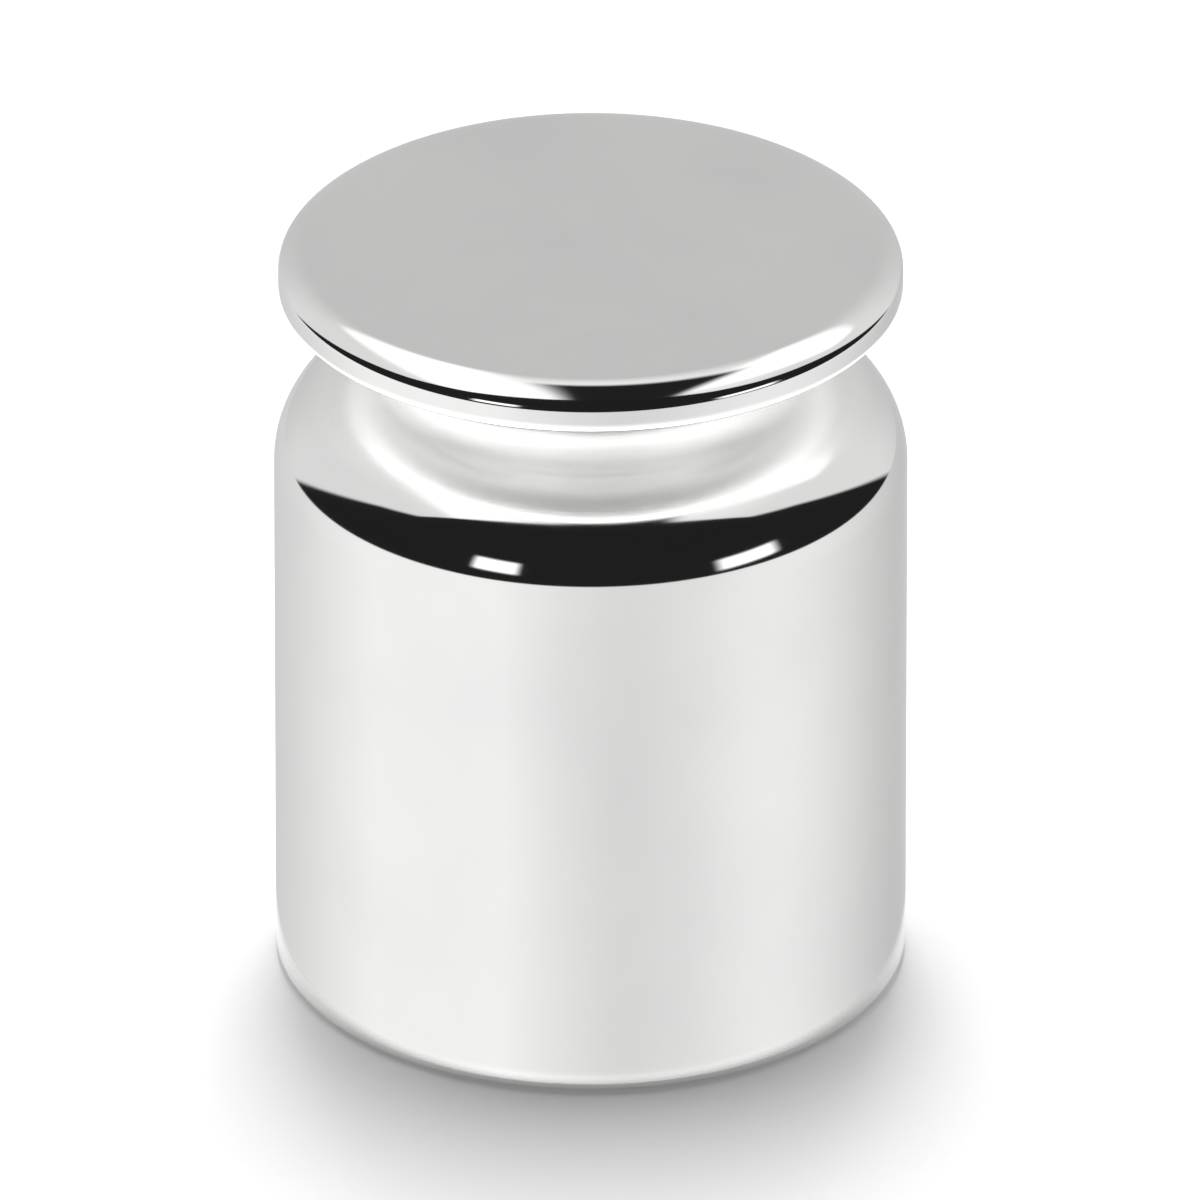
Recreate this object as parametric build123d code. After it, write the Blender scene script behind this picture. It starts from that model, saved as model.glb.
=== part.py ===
from build123d import *
import math
import os

# A one-kilogram calibration weight, turned in one piece from solid stainless steel:
# a straight body, a round shoulder, a recessed grip, and a flat head about as wide as the body.
# Sizes in millimetres. +Z is up, and the origin is at the centre of the base face.

# Body
body_diameter = 52.1
body_height = 53.5  # base face to the top of the shoulder
shoulder_radius = 8.0
base_edge_radius = 1.2

# Recessed grip, a half-round channel between the shoulder and the head
neck_diameter = 27.7
grip_gap = 8.0

# Head. Its upper edge is rounded by a small radius next to the side, which runs into
# a larger one next to the top face at the steepness given here in degrees.
head_diameter = 51.3
head_thickness = 3.8
head_side_round = 1.3
head_top_round = 4.3
head_round_change = 48.0
head_lower_edge_radius = 0.6

# Heights and radii that follow from the sizes above
body_radius = body_diameter / 2
neck_radius = neck_diameter / 2
head_radius = head_diameter / 2
channel_radius = grip_gap / 2
head_underside = body_height + grip_gap
head_top = head_underside + head_thickness
round_growth = head_top_round - head_side_round
side_round_height = head_top - head_top_round + round_growth * math.sin(math.radians(head_round_change))
flat_radius = head_radius - head_side_round - round_growth * math.cos(math.radians(head_round_change))

# The right half of the section is drawn on the XZ plane, from the axis outwards.
with BuildSketch() as body_section:
    Rectangle(body_radius, body_height, align=(Align.MIN, Align.MIN))
    base_corner = body_section.vertices().group_by(Axis.Y)[0].sort_by(Axis.X)[-1]
    fillet(base_corner, base_edge_radius)
    shoulder_corner = body_section.vertices().group_by(Axis.Y)[-1].sort_by(Axis.X)[-1]
    fillet(shoulder_corner, shoulder_radius)

with BuildSketch() as head_section:
    with BuildLine():
        Line((0, head_underside), (head_radius - head_lower_edge_radius, head_underside))
        lower_round_centre = (head_radius - head_lower_edge_radius, head_underside + head_lower_edge_radius)
        CenterArc(lower_round_centre, head_lower_edge_radius, -90, 90)
        Line((head_radius, head_underside + head_lower_edge_radius), (head_radius, side_round_height))
        side_round_centre = (head_radius - head_side_round, side_round_height)
        CenterArc(side_round_centre, head_side_round, 0, head_round_change)
        top_round_centre = (flat_radius, head_top - head_top_round)
        CenterArc(top_round_centre, head_top_round, head_round_change, 90 - head_round_change)
        Line((flat_radius, head_top), (0, head_top))
        Line((0, head_top), (0, head_underside))
    make_face()

# The neck widens into the shoulder below and the head above through the round of the channel.
with BuildSketch() as neck_section:
    with Locations((0, body_height)):
        Rectangle(neck_radius + channel_radius, grip_gap, align=(Align.MIN, Align.MIN))
    with Locations((neck_radius + channel_radius, body_height + channel_radius)):
        Circle(channel_radius, mode=Mode.SUBTRACT)

with BuildPart() as turned:
    with BuildSketch(Plane.XZ) as section:
        add(body_section.sketch)
        add(neck_section.sketch)
        add(head_section.sketch)
    revolve(axis=Axis.Z)

weight = turned.part

os.makedirs("parts", exist_ok=True)
export_step(weight, "parts/weight.step")
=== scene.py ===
import math

import bmesh
import bpy
from bpy.props import FloatProperty, FloatVectorProperty, IntProperty, PointerProperty
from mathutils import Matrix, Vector


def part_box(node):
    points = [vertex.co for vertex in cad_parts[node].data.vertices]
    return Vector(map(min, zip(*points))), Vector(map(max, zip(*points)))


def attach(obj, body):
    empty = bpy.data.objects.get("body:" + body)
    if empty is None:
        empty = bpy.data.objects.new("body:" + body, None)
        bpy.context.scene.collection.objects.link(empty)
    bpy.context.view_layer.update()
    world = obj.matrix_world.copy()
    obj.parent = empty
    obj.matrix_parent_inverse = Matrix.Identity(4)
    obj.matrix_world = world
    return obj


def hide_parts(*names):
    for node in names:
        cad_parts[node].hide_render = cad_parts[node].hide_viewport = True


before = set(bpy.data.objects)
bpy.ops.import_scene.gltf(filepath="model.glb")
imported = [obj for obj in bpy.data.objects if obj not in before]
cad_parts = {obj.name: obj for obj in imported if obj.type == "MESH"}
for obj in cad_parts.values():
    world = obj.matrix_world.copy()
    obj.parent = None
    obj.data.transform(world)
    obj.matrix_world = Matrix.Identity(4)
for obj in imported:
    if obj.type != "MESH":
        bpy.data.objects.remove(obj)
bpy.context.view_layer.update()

bl_info = {
    "name": "Calibration Weight",
    "version": (1, 0, 0),
    "blender": (4, 5, 0),
    "location": "3D View > Sidebar > Weight",
    "description": "Turns a polished calibration weight and sets up a plain studio for it",
    "category": "Object",
}

# The weight's box in the frame gives its diameter and height. Lengths are in metres.
WEIGHT_LOW, WEIGHT_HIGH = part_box("weight")
BODY_DIAMETER = round(max(WEIGHT_HIGH[0] - WEIGHT_LOW[0], WEIGHT_HIGH[1] - WEIGHT_LOW[1]), 4)
WEIGHT_HEIGHT = round(WEIGHT_HIGH[2] - WEIGHT_LOW[2], 4)
BODY_HEIGHT = 0.0535
GRIP_GAP = 0.0080

QUARTER_TURN = math.pi / 2
MERGE_DISTANCE = 1e-6
FLOOR_GAP = 0.00001
FRAME_PIXELS = 1200
SENSOR_WIDTH = 36.0

# Where the grip's satin and its painted light fade in below the top of the shoulder, and end above the
# head's underside.
GRIP_FADE_START = 0.0024
GRIP_FADE_END = 0.0003
GRIP_STOP_START = 0.0001
GRIP_STOP_END = 0.0004

# Noise of the steel: fine rings from turning, and a faint haze in the polish.
RING_SCALE = 3200.0
RING_ROUGHNESS = 0.10
HAZE_SCALE = 55.0
HAZE_BAND = (0.35, 0.75)

# Distances from the body's side between which the floor drops out of the metal's reflections.
CONTACT_ZONE = 0.0010
CONTACT_ZONE_END = 0.0030

# The light tent, as bands of direction and levels of grey.
LEAST_RISE = 0.05
TENT_BACK_TURN = (math.radians(125), math.radians(165))
TENT_ROOF = (0.68, 0.92)
TENT_BACK_LEVEL = 0.60
TENT_SIDE_LEVEL = 0.80
TENT_ROOF_LEVEL = 0.95

# The two soft boxes in its roof, with the right one's front outer corner cut off, and the slot between them.
BOX_DEPTH = (-0.95, -0.78)
LEFT_BOX_OUTER = (-0.84, -0.66)
LEFT_BOX_INNER = (-0.18, -0.08)
RIGHT_BOX_INNER = (0.24, 0.34)
RIGHT_BOX_OUTER = (1.15, 1.35)
CORNER_SLANT = 0.8
CORNER_CUT = (0.42, 0.56)
SLOT_ACROSS = (0.13, 0.23, 0.05)
SLOT_DEPTH = (-0.50, -0.34)

# The tent's open front: how its edge rises with the direction.
OPENING_SLOPE_AHEAD = 0.86
OPENING_SLOPE_BEHIND = 1.12
OPENING_STEEPEST = 3.64
OPENING_TILT = 0.03
OPENING_RISE = 0.50
OPENING_BAND = (-0.02, 0.04)
DARK_LEVEL = 0.015

# The two small low lamps in the open front, each as centre, half width and softness.
LEFT_SPOT_TURN = (math.radians(-34), math.radians(8), math.radians(2))
LEFT_SPOT_RISE = (0.26, 0.11, 0.03)
RIGHT_SPOT_TURN = (math.radians(57), math.radians(11), math.radians(3))
RIGHT_SPOT_RISE = (0.13, 0.10, 0.03)

# The ground that the metal reflects, by turn, and brighter close to the weight.
GROUND_STOPS = [
    (0.00, 0.62), (0.17, 0.84), (0.35, 1.07), (0.50, 0.82), (0.58, 0.82), (0.71, 0.94), (0.88, 0.63),
    (1.00, 0.62),
]
NEAR_GROUND = (-0.64, -0.50)
NEAR_GROUND_GAIN = 1.8
HORIZON_SLOPE = 0.125
HORIZON_BAND = (-0.01, 0.01)


# ---------------------------------------------------------------- node graphs


class Wire:
    """An output socket that adds Math nodes when it takes part in arithmetic."""

    def __init__(self, graph, socket):
        self.graph = graph
        self.socket = socket

    def __add__(self, other):
        return self.graph.math("ADD", self, other)

    def __radd__(self, other):
        return self.graph.math("ADD", other, self)

    def __sub__(self, other):
        return self.graph.math("SUBTRACT", self, other)

    def __rsub__(self, other):
        return self.graph.math("SUBTRACT", other, self)

    def __mul__(self, other):
        return self.graph.math("MULTIPLY", self, other)

    def __rmul__(self, other):
        return self.graph.math("MULTIPLY", other, self)

    def __truediv__(self, other):
        return self.graph.math("DIVIDE", self, other)

    def __rtruediv__(self, other):
        return self.graph.math("DIVIDE", other, self)

    def __neg__(self):
        return self.graph.math("MULTIPLY", self, -1.0)


class Graph:
    """A node tree that is filled in from Python expressions."""

    def __init__(self, tree):
        tree.nodes.clear()
        self.tree = tree

    def add(self, kind, settings=None, inputs=None, output=0):
        """Add a node, apply its settings, fill or link its inputs, and give one of its outputs."""
        node = self.tree.nodes.new(kind)
        for name, value in (settings or {}).items():
            if name == "stops":
                fill_ramp(node.color_ramp, value)
            else:
                setattr(node, name, value)
        for name, value in (inputs or {}).items():
            for part in value if isinstance(value, list) else [value]:
                if isinstance(part, Wire):
                    self.tree.links.new(part.socket, node.inputs[name])
                else:
                    node.inputs[name].default_value = part
        if not node.outputs:
            return None
        return Wire(self, node.outputs[output])

    def math(self, operation, *operands):
        return self.add("ShaderNodeMath", {"operation": operation}, dict(enumerate(operands)))

    def vector(self, x=0.0, y=0.0, z=0.0):
        return self.add("ShaderNodeCombineXYZ", None, {"X": x, "Y": y, "Z": z})

    def split(self, vector):
        """Give the x, y and z of a vector."""
        first = self.add("ShaderNodeSeparateXYZ", None, {"Vector": vector})
        return [Wire(self, socket) for socket in first.socket.node.outputs]

    def step(self, value, start, end):
        """Go smoothly from 0 at start to 1 at end."""
        sockets = {"Value": value, "From Min": start, "From Max": end}
        return self.add("ShaderNodeMapRange", {"interpolation_type": "SMOOTHSTEP"}, sockets)

    def window(self, value, centre, half, soft):
        """Give 1 around centre and 0 beyond half, with an edge that is soft to either side."""
        return 1.0 - self.step(self.math("ABSOLUTE", value - centre), half - soft, half + soft)

    def blend(self, factor, low, high):
        """Mix two numbers."""
        return low + (high - low) * factor


def fill_ramp(ramp, stops):
    """Give a colour ramp grey stops, each a position and a level."""
    ramp.interpolation = "CARDINAL"
    while len(ramp.elements) > 1:
        ramp.elements.remove(ramp.elements[-1])
    for index, (position, level) in enumerate(stops):
        element = ramp.elements[0] if index == 0 else ramp.elements.new(position)
        element.position = position
        element.color = (level, level, level, 1.0)


# ---------------------------------------------------------------- sizes and colours


class WeightSizes(bpy.types.PropertyGroup):
    """Sizes of the turned section, from the base to the head."""

    body_diameter: FloatProperty(
        name="Body Diameter", description="Width of the straight body",
        default=BODY_DIAMETER, min=0.005, precision=4, unit="LENGTH")
    body_height: FloatProperty(
        name="Body Height", description="Base face to the top of the shoulder",
        default=BODY_HEIGHT, min=0.005, precision=4, unit="LENGTH")
    shoulder_radius: FloatProperty(
        name="Shoulder Radius", description="Round between the wall and the top of the shoulder",
        default=0.0080, min=0.0001, precision=4, unit="LENGTH")
    base_edge_radius: FloatProperty(
        name="Base Edge Radius", description="Round between the base face and the wall",
        default=0.0012, min=0.0001, precision=4, unit="LENGTH")
    neck_diameter: FloatProperty(
        name="Neck Diameter", description="Narrowest width, at the bottom of the grip channel",
        default=0.0277, min=0.001, precision=4, unit="LENGTH")
    grip_gap: FloatProperty(
        name="Grip Gap", description="Height of the half-round channel under the head",
        default=GRIP_GAP, min=0.001, precision=4, unit="LENGTH")
    head_diameter: FloatProperty(
        name="Head Diameter", description="Width of the flat head",
        default=0.0513, min=0.005, precision=4, unit="LENGTH")
    head_thickness: FloatProperty(
        name="Head Thickness", description="Underside of the head to its top face",
        default=WEIGHT_HEIGHT - BODY_HEIGHT - GRIP_GAP, min=0.001, precision=4, unit="LENGTH")
    head_side_round: FloatProperty(
        name="Head Side Round", description="Smaller round of the head's upper edge, next to its side",
        default=0.0013, min=0.0001, precision=4, unit="LENGTH")
    head_top_round: FloatProperty(
        name="Head Top Round", description="Larger round of the head's upper edge, next to its top face",
        default=0.0043, min=0.0001, precision=4, unit="LENGTH")
    head_round_change: FloatProperty(
        name="Head Round Change",
        description="Steepness at which one round of the head's edge meets the other",
        default=math.radians(48.0), min=0.1, max=1.5, subtype="ANGLE")
    head_lower_edge_radius: FloatProperty(
        name="Head Lower Edge Radius", description="Round between the head's underside and its side",
        default=0.0006, min=0.0001, precision=4, unit="LENGTH")
    turns: IntProperty(
        name="Steps Around", description="Number of steps in one turn of the section",
        default=256, min=32, max=512)


class SteelFinish(bpy.types.PropertyGroup):
    """Colour and polish of the steel."""

    steel_color: FloatVectorProperty(
        name="Steel Colour", description="Colour of the polished steel",
        default=(0.88, 0.88, 0.87), min=0.0, max=1.0, size=3, subtype="COLOR")
    haze_color: FloatVectorProperty(
        name="Haze Colour", description="Colour of the steel where its polish is a little duller",
        default=(0.84, 0.84, 0.835), min=0.0, max=1.0, size=3, subtype="COLOR")
    # Paler than the polished steel: painted light that lifts the shade in the grip channel, not a brighter
    # metal.
    satin_painted_light_color: FloatVectorProperty(
        name="Satin Colour", description="Colour of the finely turned grip",
        default=(0.98, 0.98, 0.97), min=0.0, max=1.0, size=3, subtype="COLOR")
    polish_roughness: FloatProperty(
        name="Polish Roughness", description="Roughness of the mirror-polished faces",
        default=0.045, min=0.0, max=1.0, subtype="FACTOR")
    haze_roughness: FloatProperty(
        name="Haze Roughness", description="Roughness that the faint haze adds",
        default=0.03, min=0.0, max=1.0, subtype="FACTOR")
    grip_roughness: FloatProperty(
        name="Grip Roughness", description="Roughness of the finely turned grip channel",
        default=0.38, min=0.0, max=1.0, subtype="FACTOR")
    turned_line_depth: FloatProperty(
        name="Turned Line Depth", description="Depth of the fine turned lines in the grip",
        default=0.0000005, min=0.0, precision=7, unit="LENGTH")


class StageSettings(bpy.types.PropertyGroup):
    """Camera, floor and light levels."""

    camera_elevation: FloatProperty(
        name="Camera Elevation", description="How far the camera looks down on the weight",
        default=math.radians(28.5), subtype="ANGLE")
    lens: FloatProperty(
        name="Lens", description="Focal length, long enough to keep the sides of the body parallel",
        default=1200.0, min=50.0, unit="CAMERA")
    body_pixels: FloatProperty(
        name="Body Width in Frame", description="Width of the body in a frame of 1200 pixels",
        default=629.3, min=10.0, max=FRAME_PIXELS)
    floor_size: FloatProperty(
        name="Floor Size", description="Side of the square floor",
        default=8.0, min=0.5, unit="LENGTH")
    floor_color: FloatVectorProperty(
        name="Floor Colour", description="Colour of the pale floor",
        default=(0.95, 0.95, 0.95), min=0.0, max=1.0, size=3, subtype="COLOR")
    floor_glow: FloatProperty(
        name="Floor Glow", description="Light of the floor's own that fills its shadow",
        default=0.10, min=0.0, max=1.0)
    key_level: FloatProperty(
        name="Soft Box Level", description="Brightness of the two soft boxes overhead",
        default=1.2, min=0.0)
    top_level: FloatProperty(
        name="Top Lamp Level", description="Brightness of the lamp that gives the floor its shadow",
        default=17.0, min=0.0)
    lamp_level: FloatProperty(
        name="Lamp Level", description="Brightness of the two small low lamps in front",
        default=1.4, min=0.0)


# ---------------------------------------------------------------- the turned section


class Section:
    """The weight's section as a run of lines and arcs, each a curve in the XY plane."""

    def __init__(self, graph, guide_radius):
        self.graph = graph
        self.guide_radius = guide_radius
        self.curves = []

    def place(self, radius, height):
        """Give the point for a radius and height, measured from the circle that carries the section."""
        return self.graph.vector(radius - self.guide_radius, -height)

    def line(self, start, end, steps):
        """Add a straight run from one (radius, height) to another."""
        sockets = {"Start": self.place(*start), "End": self.place(*end)}
        run = self.graph.add("GeometryNodeCurvePrimitiveLine", None, sockets)
        self.curves.append(
            self.graph.add("GeometryNodeResampleCurve", None, {"Curve": run, "Count": steps + 1}))

    def arc(self, centre, radius, start, sweep, steps):
        """Add an arc about a (radius, height), with its angles measured from outwards towards up."""
        sockets = {
            "Resolution": steps + 1,
            "Radius": radius,
            "Start Angle": -start,
            "Sweep Angle": -sweep,
        }
        bend = self.graph.add("GeometryNodeCurveArc", {"mode": "RADIUS"}, sockets)
        moved = {"Geometry": bend, "Translation": self.place(*centre)}
        self.curves.append(self.graph.add("GeometryNodeTransform", None, moved))

    def joined(self):
        return self.graph.add("GeometryNodeJoinGeometry", None, {"Geometry": self.curves})


def turned_tree(finish_material):
    """Build the tree that turns the section about the upright axis."""
    tree = bpy.data.node_groups.new("Turned Weight", "GeometryNodeTree")
    names = [
        "Body Diameter", "Body Height", "Shoulder Radius", "Base Edge Radius", "Neck Diameter",
        "Grip Gap", "Head Diameter", "Head Thickness", "Head Side Round", "Head Top Round",
        "Head Round Change", "Head Lower Edge Radius",
    ]
    for name in names:
        socket = tree.interface.new_socket(name, in_out="INPUT", socket_type="NodeSocketFloat")
        socket.subtype = "ANGLE" if name == "Head Round Change" else "DISTANCE"
        socket.min_value = 0.0
    tree.interface.new_socket("Steps Around", in_out="INPUT", socket_type="NodeSocketInt")
    tree.interface.new_socket("Geometry", in_out="OUTPUT", socket_type="NodeSocketGeometry")

    graph = Graph(tree)
    first = graph.add("NodeGroupInput")
    given = {socket.name: Wire(graph, socket) for socket in first.socket.node.outputs}
    body_radius = given["Body Diameter"] / 2
    body_height = given["Body Height"]
    shoulder = given["Shoulder Radius"]
    base_edge = given["Base Edge Radius"]
    channel = given["Grip Gap"] / 2
    channel_reach = given["Neck Diameter"] / 2 + channel
    underside = body_height + given["Grip Gap"]
    head_radius = given["Head Diameter"] / 2
    top = underside + given["Head Thickness"]
    side_round = given["Head Side Round"]
    top_round = given["Head Top Round"]
    change = given["Head Round Change"]
    inward = graph.math("COSINE", change)
    upward = graph.math("SINE", change)
    round_start = top - top_round + (top_round - side_round) * upward
    flat_radius = head_radius - side_round - (top_round - side_round) * inward
    lower_edge = given["Head Lower Edge Radius"]

    section = Section(graph, body_radius)
    section.line((0.0, 0.0), (body_radius - base_edge, 0.0), steps=16)
    section.arc((body_radius - base_edge, base_edge), base_edge, -QUARTER_TURN, QUARTER_TURN, steps=12)
    section.line((body_radius, base_edge), (body_radius, body_height - shoulder), steps=30)
    section.arc((body_radius - shoulder, body_height - shoulder), shoulder, 0.0, QUARTER_TURN, steps=40)
    section.line((body_radius - shoulder, body_height), (channel_reach, body_height), steps=1)
    section.arc((channel_reach, body_height + channel), channel, -QUARTER_TURN, -2 * QUARTER_TURN, steps=48)
    section.line((channel_reach, underside), (head_radius - lower_edge, underside), steps=10)
    section.arc((head_radius - lower_edge, underside + lower_edge), lower_edge,
                -QUARTER_TURN, QUARTER_TURN, steps=8)
    section.line((head_radius, underside + lower_edge), (head_radius, round_start), steps=2)
    section.arc((head_radius - side_round, round_start), side_round, 0.0, change, steps=16)
    section.arc((flat_radius, top - top_round), top_round, change, QUARTER_TURN - change, steps=24)
    section.line((flat_radius, top), (0.0, top), steps=24)

    circle = graph.add("GeometryNodeCurvePrimitiveCircle", {"mode": "RADIUS"},
                       {"Resolution": given["Steps Around"], "Radius": body_radius})
    skin = graph.add("GeometryNodeCurveToMesh", None, {"Curve": circle, "Profile Curve": section.joined()})
    closed = graph.add("GeometryNodeMergeByDistance", None, {"Geometry": skin, "Distance": MERGE_DISTANCE})
    outward = graph.add("GeometryNodeFlipFaces", None, {"Mesh": closed})
    smooth = graph.add("GeometryNodeSetShadeSmooth", None, {"Geometry": outward, "Shade Smooth": True})
    whole = graph.add("GeometryNodeRealizeInstances", None, {"Geometry": smooth})
    dressed = graph.add("GeometryNodeSetMaterial", None, {"Geometry": whole, "Material": finish_material})
    graph.add("NodeGroupOutput", None, {"Geometry": dressed})
    return tree


def plain_mesh(name, tree, values):
    """Run a tree on an empty mesh, keep the result as a plain mesh, and give its object."""
    carrier = bpy.data.objects.new(name, bpy.data.meshes.new(name + "_seed"))
    bpy.context.scene.collection.objects.link(carrier)
    modifier = carrier.modifiers.new("Turned Weight", "NODES")
    modifier.node_group = tree
    for item in tree.interface.items_tree:
        if item.item_type == "SOCKET" and item.in_out == "INPUT":
            modifier[item.identifier] = values[item.name]
    depsgraph = bpy.context.evaluated_depsgraph_get()
    mesh = bpy.data.meshes.new_from_object(carrier.evaluated_get(depsgraph))
    carrier.modifiers.remove(modifier)
    carrier.data = mesh
    mesh.name = name
    return carrier


def check_closed(mesh):
    """Raise an error unless the mesh is closed and faces outwards."""
    shape = bmesh.new()
    shape.from_mesh(mesh)
    open_edges = sum(1 for edge in shape.edges if not edge.is_manifold)
    volume = shape.calc_volume(signed=True)
    shape.free()
    if open_edges or volume <= 0.0:
        raise RuntimeError(f"{mesh.name}: {open_edges} open edges, volume {volume}")


# ---------------------------------------------------------------- finishes


def steel_material(sizes, finish):
    """Mirror-polished steel with a faint haze, and a finely turned satin grip whose paler colour is painted
    light against the shade in its channel.
    """
    material = bpy.data.materials.new("Polished Steel")
    material.use_nodes = True
    graph = Graph(material.node_tree)
    place = graph.add("ShaderNodeTexCoord", output="Object")
    x, y, z = graph.split(place)
    radius = graph.math("SQRT", x * x + y * y)

    # The grip is satin, and its colour is paler than the steel as painted light that lifts the shade in the
    # channel under the head. It fades in over the upper shoulder and ends at the head's lower edge.
    underside = sizes.body_height + sizes.grip_gap
    above_shoulder = graph.step(z, sizes.body_height - GRIP_FADE_START,
                                sizes.body_height - GRIP_FADE_END)
    below_head = 1.0 - graph.step(z, underside + GRIP_STOP_START, underside + GRIP_STOP_END)
    grip = above_shoulder * below_head

    # Rings that a lathe leaves are constant around the axis, so their noise reads radius and height.
    section_place = graph.vector(radius, z)
    rings = graph.add("ShaderNodeTexNoise", {"noise_dimensions": "2D"},
                      {"Vector": section_place, "Scale": RING_SCALE, "Detail": 3.0, "Roughness": 0.6})
    haze = graph.add("ShaderNodeTexNoise", None,
                     {"Vector": place, "Scale": HAZE_SCALE, "Detail": 4.0, "Roughness": 0.55})
    cloud = graph.step(haze, *HAZE_BAND)

    polished = graph.add("ShaderNodeMix", {"data_type": "RGBA"},
                         {0: cloud, 6: (*finish.steel_color, 1.0), 7: (*finish.haze_color, 1.0)}, output=2)
    # The grip's paler colour is painted light against the shade that falls in its channel.
    colour = graph.add("ShaderNodeMix", {"data_type": "RGBA"},
                       {0: grip, 6: polished, 7: (*finish.satin_painted_light_color, 1.0)}, output=2)
    polish = finish.polish_roughness + cloud * finish.haze_roughness
    roughness = graph.blend(grip, polish, finish.grip_roughness + (rings - 0.5) * RING_ROUGHNESS)
    bump = graph.add("ShaderNodeBump", None,
                     {"Strength": 1.0, "Distance": finish.turned_line_depth, "Height": rings * grip},
                     output="Normal")
    surface = graph.add("ShaderNodeBsdfPrincipled", None,
                        {"Base Color": colour, "Metallic": 1.0, "Roughness": roughness, "Normal": bump})
    graph.add("ShaderNodeOutputMaterial", None, {"Surface": surface})
    return material


def floor_material(sizes, stage):
    """Pale floor that keeps the shadow for the camera and lets metal see the studio's own brightness.

    Close to the weight the metal sees the floor itself, so the base's edge shows its contact shadow.
    """
    material = bpy.data.materials.new("Pale Floor")
    material.use_nodes = True
    graph = Graph(material.node_tree)
    matt = graph.add("ShaderNodeBsdfDiffuse", None, {"Color": (*stage.floor_color, 1.0)})
    glow = graph.add("ShaderNodeEmission", None, {"Strength": stage.floor_glow})
    lit = graph.add("ShaderNodeAddShader", None, {0: matt, 1: glow})
    clear = graph.add("ShaderNodeBsdfTransparent")
    ray = graph.add("ShaderNodeLightPath", output="Is Glossy Ray")
    through = Wire(graph, ray.socket.node.outputs["Is Transmission Ray"])
    x, y, _ = graph.split(graph.add("ShaderNodeTexCoord", output="Object"))
    radius = graph.math("SQRT", x * x + y * y)
    body_radius = sizes.body_diameter / 2
    away = graph.step(radius, body_radius + CONTACT_ZONE, body_radius + CONTACT_ZONE_END)
    seen_in_metal = graph.math("MAXIMUM", ray, through) * away
    surface = graph.add("ShaderNodeMixShader", None, {0: seen_in_metal, 1: lit, 2: clear})
    graph.add("ShaderNodeOutputMaterial", None, {"Surface": surface})
    return material


def studio_world(stage):
    """A pale studio with a dark open front, white for the camera."""
    world = bpy.data.worlds.new("Studio")
    world.use_nodes = True
    graph = Graph(world.node_tree)
    direction = graph.add("ShaderNodeTexCoord", output="Generated")
    x, y, z = graph.split(direction)
    front = -y
    azimuth = graph.math("ARCTAN2", x, front)
    turn = graph.math("ABSOLUTE", azimuth)

    # Directions overhead are measured on a level ceiling one unit up.
    steepness = 1.0 / graph.math("MAXIMUM", z, LEAST_RISE)
    across = x * steepness
    ahead = front * steepness

    # Light tent: grey at the back, paler at the sides and in the roof.
    side = 1.0 - graph.step(turn, *TENT_BACK_TURN)
    roof = graph.step(z, *TENT_ROOF)
    tent = graph.blend(roof, graph.blend(side, TENT_BACK_LEVEL, TENT_SIDE_LEVEL), TENT_ROOF_LEVEL)

    # Two soft boxes in its roof, left and right of an open slot.
    depth = graph.step(ahead, *BOX_DEPTH)
    left_box = graph.step(across, *LEFT_BOX_OUTER) * (1.0 - graph.step(across, *LEFT_BOX_INNER)) * depth
    right_box = graph.step(across, *RIGHT_BOX_INNER) * (1.0 - graph.step(across, *RIGHT_BOX_OUTER)) * depth
    right_box = right_box * (1.0 - graph.step(ahead + across * CORNER_SLANT, *CORNER_CUT))
    tent = graph.blend(left_box + right_box, tent, stage.key_level)

    # The tent's front is open, and its edges slope down to the sides.
    slope = graph.math("MINIMUM", front * OPENING_SLOPE_AHEAD, front * OPENING_SLOPE_BEHIND)
    front_edge = graph.math("MAXIMUM", front * OPENING_STEEPEST, slope + x * OPENING_TILT + OPENING_RISE)
    under_tent = graph.step(z - front_edge, *OPENING_BAND)
    slot = graph.window(across, *SLOT_ACROSS) * graph.step(ahead, *SLOT_DEPTH)

    # Two small low lamps stand in the dark of the open front.
    left_spot = graph.window(azimuth, *LEFT_SPOT_TURN) * graph.window(z, *LEFT_SPOT_RISE)
    right_spot = graph.window(azimuth, *RIGHT_SPOT_TURN) * graph.window(z, *RIGHT_SPOT_RISE)
    dark = DARK_LEVEL + (left_spot + right_spot) * stage.lamp_level
    upper = graph.blend(under_tent * (1.0 - slot), dark, tent)

    # Pale ground all round for the metal to reflect, a little uneven from side to side.
    around = azimuth / (2 * math.pi) + 0.5
    ground = graph.add("ShaderNodeValToRGB", {"stops": GROUND_STOPS}, {"Fac": around}, output="Color")
    close_by = 1.0 - graph.step(z, *NEAR_GROUND)
    ground_grey = graph.add("ShaderNodeRGBToBW", None, {"Color": ground})
    ground_level = ground_grey * (1.0 + close_by * NEAR_GROUND_GAIN)
    above_ground = graph.step(z - (front - 1.0) * HORIZON_SLOPE, *HORIZON_BAND)
    level = graph.blend(above_ground, ground_level, upper)

    camera_ray = graph.add("ShaderNodeLightPath", output="Is Camera Ray")
    seen = graph.blend(camera_ray, level, 1.0)
    background = graph.add("ShaderNodeBackground", None, {"Color": seen})
    graph.add("ShaderNodeOutputWorld", None, {"Surface": background})
    return world


# ---------------------------------------------------------------- stage parts


def direction_from(azimuth, elevation):
    """Give the direction at an azimuth from the front, positive to the right, and an elevation."""
    return Vector((
        math.sin(azimuth) * math.cos(elevation),
        -math.cos(azimuth) * math.cos(elevation),
        math.sin(elevation),
    ))


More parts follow.
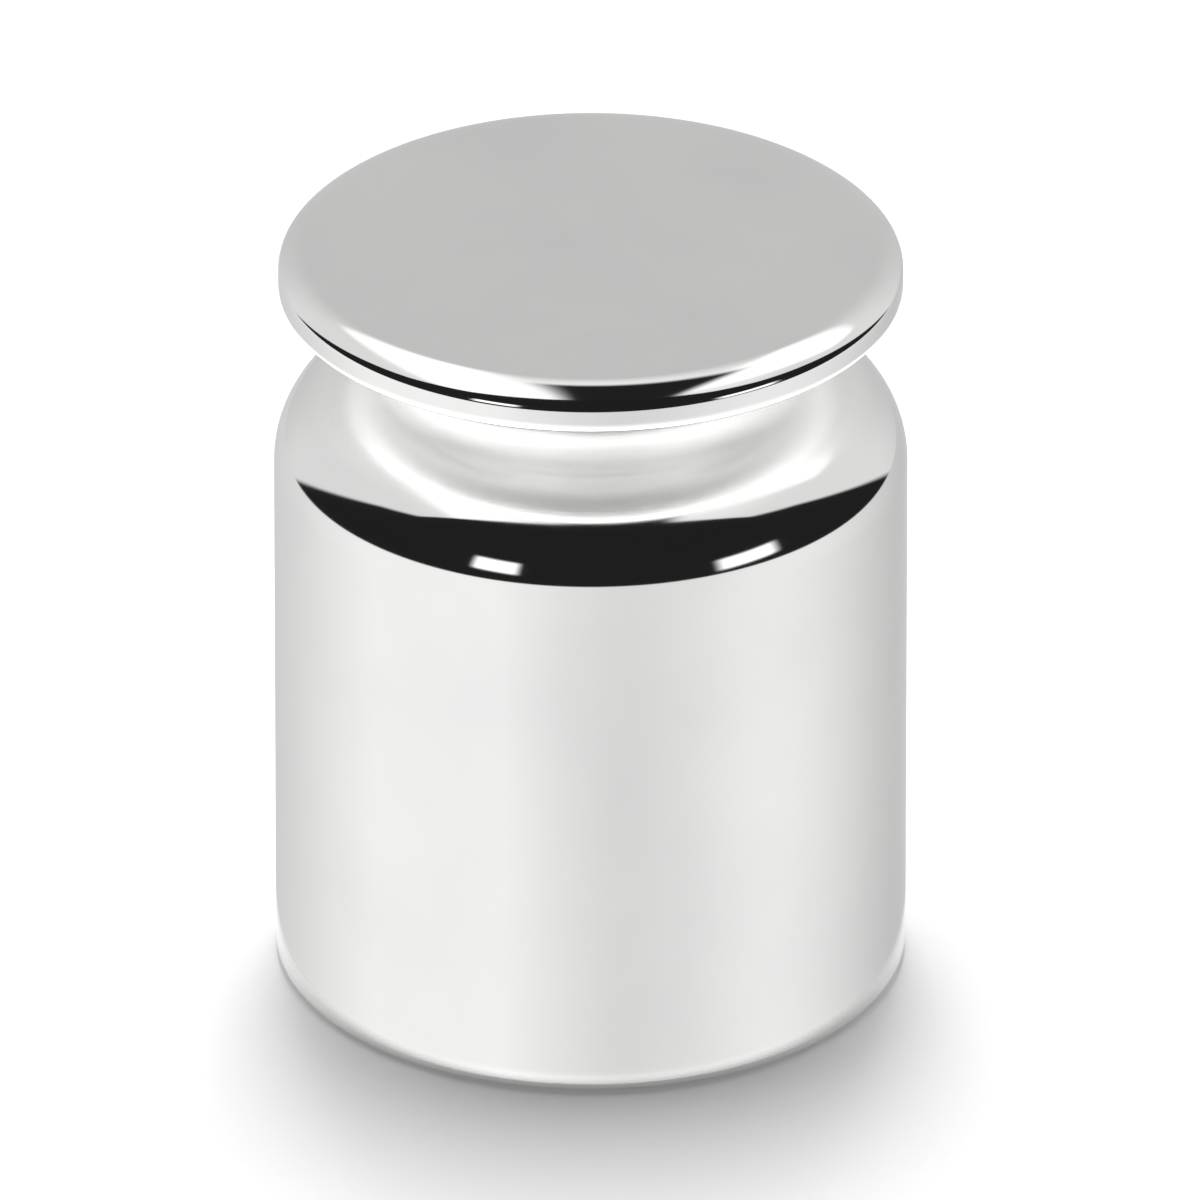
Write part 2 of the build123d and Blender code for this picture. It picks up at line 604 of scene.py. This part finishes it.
def add_soft_box(name, target, azimuth, elevation, distance, width, height, level):
    """Add a rectangular lamp that faces the target and looks as bright as the level."""
    lamp = bpy.data.lights.new(name, "AREA")
    lamp.shape = "RECTANGLE"
    lamp.size = width
    lamp.size_y = height
    lamp.energy = level * math.pi * width * height
    holder = bpy.data.objects.new(name, lamp)
    bpy.context.scene.collection.objects.link(holder)
    away = direction_from(azimuth, elevation)
    holder.location = target + away * distance
    holder.rotation_euler = (-away).to_track_quat("-Z", "Y").to_euler()
    return holder


def add_floor(sizes, stage):
    """Add the square floor just under the weight, so that the floor and the base share no plane."""
    half = stage.floor_size / 2
    under = -FLOOR_GAP
    corners = [(-half, -half, under), (half, -half, under), (half, half, under), (-half, half, under)]
    mesh = bpy.data.meshes.new("floor")
    mesh.from_pydata(corners, [], [(0, 1, 2, 3)])
    mesh.materials.append(floor_material(sizes, stage))
    floor = bpy.data.objects.new("floor", mesh)
    bpy.context.scene.collection.objects.link(floor)


def add_camera(sizes, stage):
    """Add the long-lens camera and frame the weight."""
    # Where the body's axis and the lowest point of its base lie in the frame.
    axis_column = 590.8
    base_row = 1092.6

    elevation = stage.camera_elevation
    pixels_per_metre = stage.body_pixels / sizes.body_diameter
    camera = bpy.data.cameras.new("camera")
    camera.sensor_width = SENSOR_WIDTH
    camera.lens = stage.lens
    distance = FRAME_PIXELS / pixels_per_metre * stage.lens / camera.sensor_width
    camera.clip_start = distance / 100
    camera.clip_end = distance * 10

    half_depth = math.sin(elevation) * sizes.body_diameter / 2
    right = (FRAME_PIXELS / 2 - axis_column) / pixels_per_metre
    up = (base_row - FRAME_PIXELS / 2) / pixels_per_metre - half_depth
    view_up = Vector((0.0, math.sin(elevation), math.cos(elevation)))
    forward = Vector((0.0, math.cos(elevation), -math.sin(elevation)))
    aim = Vector((right, 0.0, 0.0)) + view_up * up
    holder = bpy.data.objects.new("camera", camera)
    holder.location = aim - forward * distance
    holder.rotation_euler = forward.to_track_quat("-Z", "Y").to_euler()
    bpy.context.scene.collection.objects.link(holder)
    bpy.context.scene.camera = holder


# ---------------------------------------------------------------- operators


class WEIGHT_OT_turn(bpy.types.Operator):
    """Turn the weight from its section and give it its steel finish"""

    bl_idname = "calibration.turn_weight"
    bl_label = "Turn Weight"

    def execute(self, context):
        sizes = context.scene.weight_sizes
        material = steel_material(sizes, context.scene.steel_finish)
        values = {
            "Body Diameter": sizes.body_diameter,
            "Body Height": sizes.body_height,
            "Shoulder Radius": sizes.shoulder_radius,
            "Base Edge Radius": sizes.base_edge_radius,
            "Neck Diameter": sizes.neck_diameter,
            "Grip Gap": sizes.grip_gap,
            "Head Diameter": sizes.head_diameter,
            "Head Thickness": sizes.head_thickness,
            "Head Side Round": sizes.head_side_round,
            "Head Top Round": sizes.head_top_round,
            "Head Round Change": sizes.head_round_change,
            "Head Lower Edge Radius": sizes.head_lower_edge_radius,
            "Steps Around": sizes.turns,
        }
        weight = plain_mesh("turned_weight", turned_tree(material), values)
        check_closed(weight.data)
        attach(weight, "root")
        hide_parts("weight")
        return {"FINISHED"}


class WEIGHT_OT_stage(bpy.types.Operator):
    """Set up the floor, the studio, the lamp overhead and the camera"""

    bl_idname = "calibration.set_stage"
    bl_label = "Set Up Stage"

    def execute(self, context):
        scene = context.scene
        sizes = scene.weight_sizes
        stage = scene.stage_settings
        add_floor(sizes, stage)
        scene.world = studio_world(stage)
        top_lamp = add_soft_box(
            "top_lamp", target=Vector((0.0, 0.0, 0.0)), azimuth=math.pi, elevation=math.radians(76),
            distance=1.6, width=0.35, height=0.90, level=stage.top_level)
        top_lamp.visible_glossy = False
        add_camera(sizes, stage)
        scene.view_settings.view_transform = "Standard"
        return {"FINISHED"}


class WEIGHT_PT_panel(bpy.types.Panel):
    """Sizes, finish and stage of the weight"""

    bl_idname = "WEIGHT_PT_panel"
    bl_label = "Calibration Weight"
    bl_space_type = "VIEW_3D"
    bl_region_type = "UI"
    bl_category = "Weight"

    def draw(self, context):
        layout = self.layout
        for group, operator in (
            ("weight_sizes", WEIGHT_OT_turn),
            ("steel_finish", None),
            ("stage_settings", WEIGHT_OT_stage),
        ):
            settings = getattr(context.scene, group)
            for name in settings.__annotations__:
                layout.prop(settings, name)
            if operator:
                layout.operator(operator.bl_idname)


CLASSES = (WeightSizes, SteelFinish, StageSettings, WEIGHT_OT_turn, WEIGHT_OT_stage, WEIGHT_PT_panel)


def register():
    for entry in CLASSES:
        bpy.utils.register_class(entry)
    bpy.types.Scene.weight_sizes = PointerProperty(type=WeightSizes)
    bpy.types.Scene.steel_finish = PointerProperty(type=SteelFinish)
    bpy.types.Scene.stage_settings = PointerProperty(type=StageSettings)


def unregister():
    del bpy.types.Scene.stage_settings
    del bpy.types.Scene.steel_finish
    del bpy.types.Scene.weight_sizes
    for entry in reversed(CLASSES):
        bpy.utils.unregister_class(entry)


def main():
    register()
    bpy.ops.calibration.turn_weight()
    bpy.ops.calibration.set_stage()


if __name__ == "__main__":
    main()
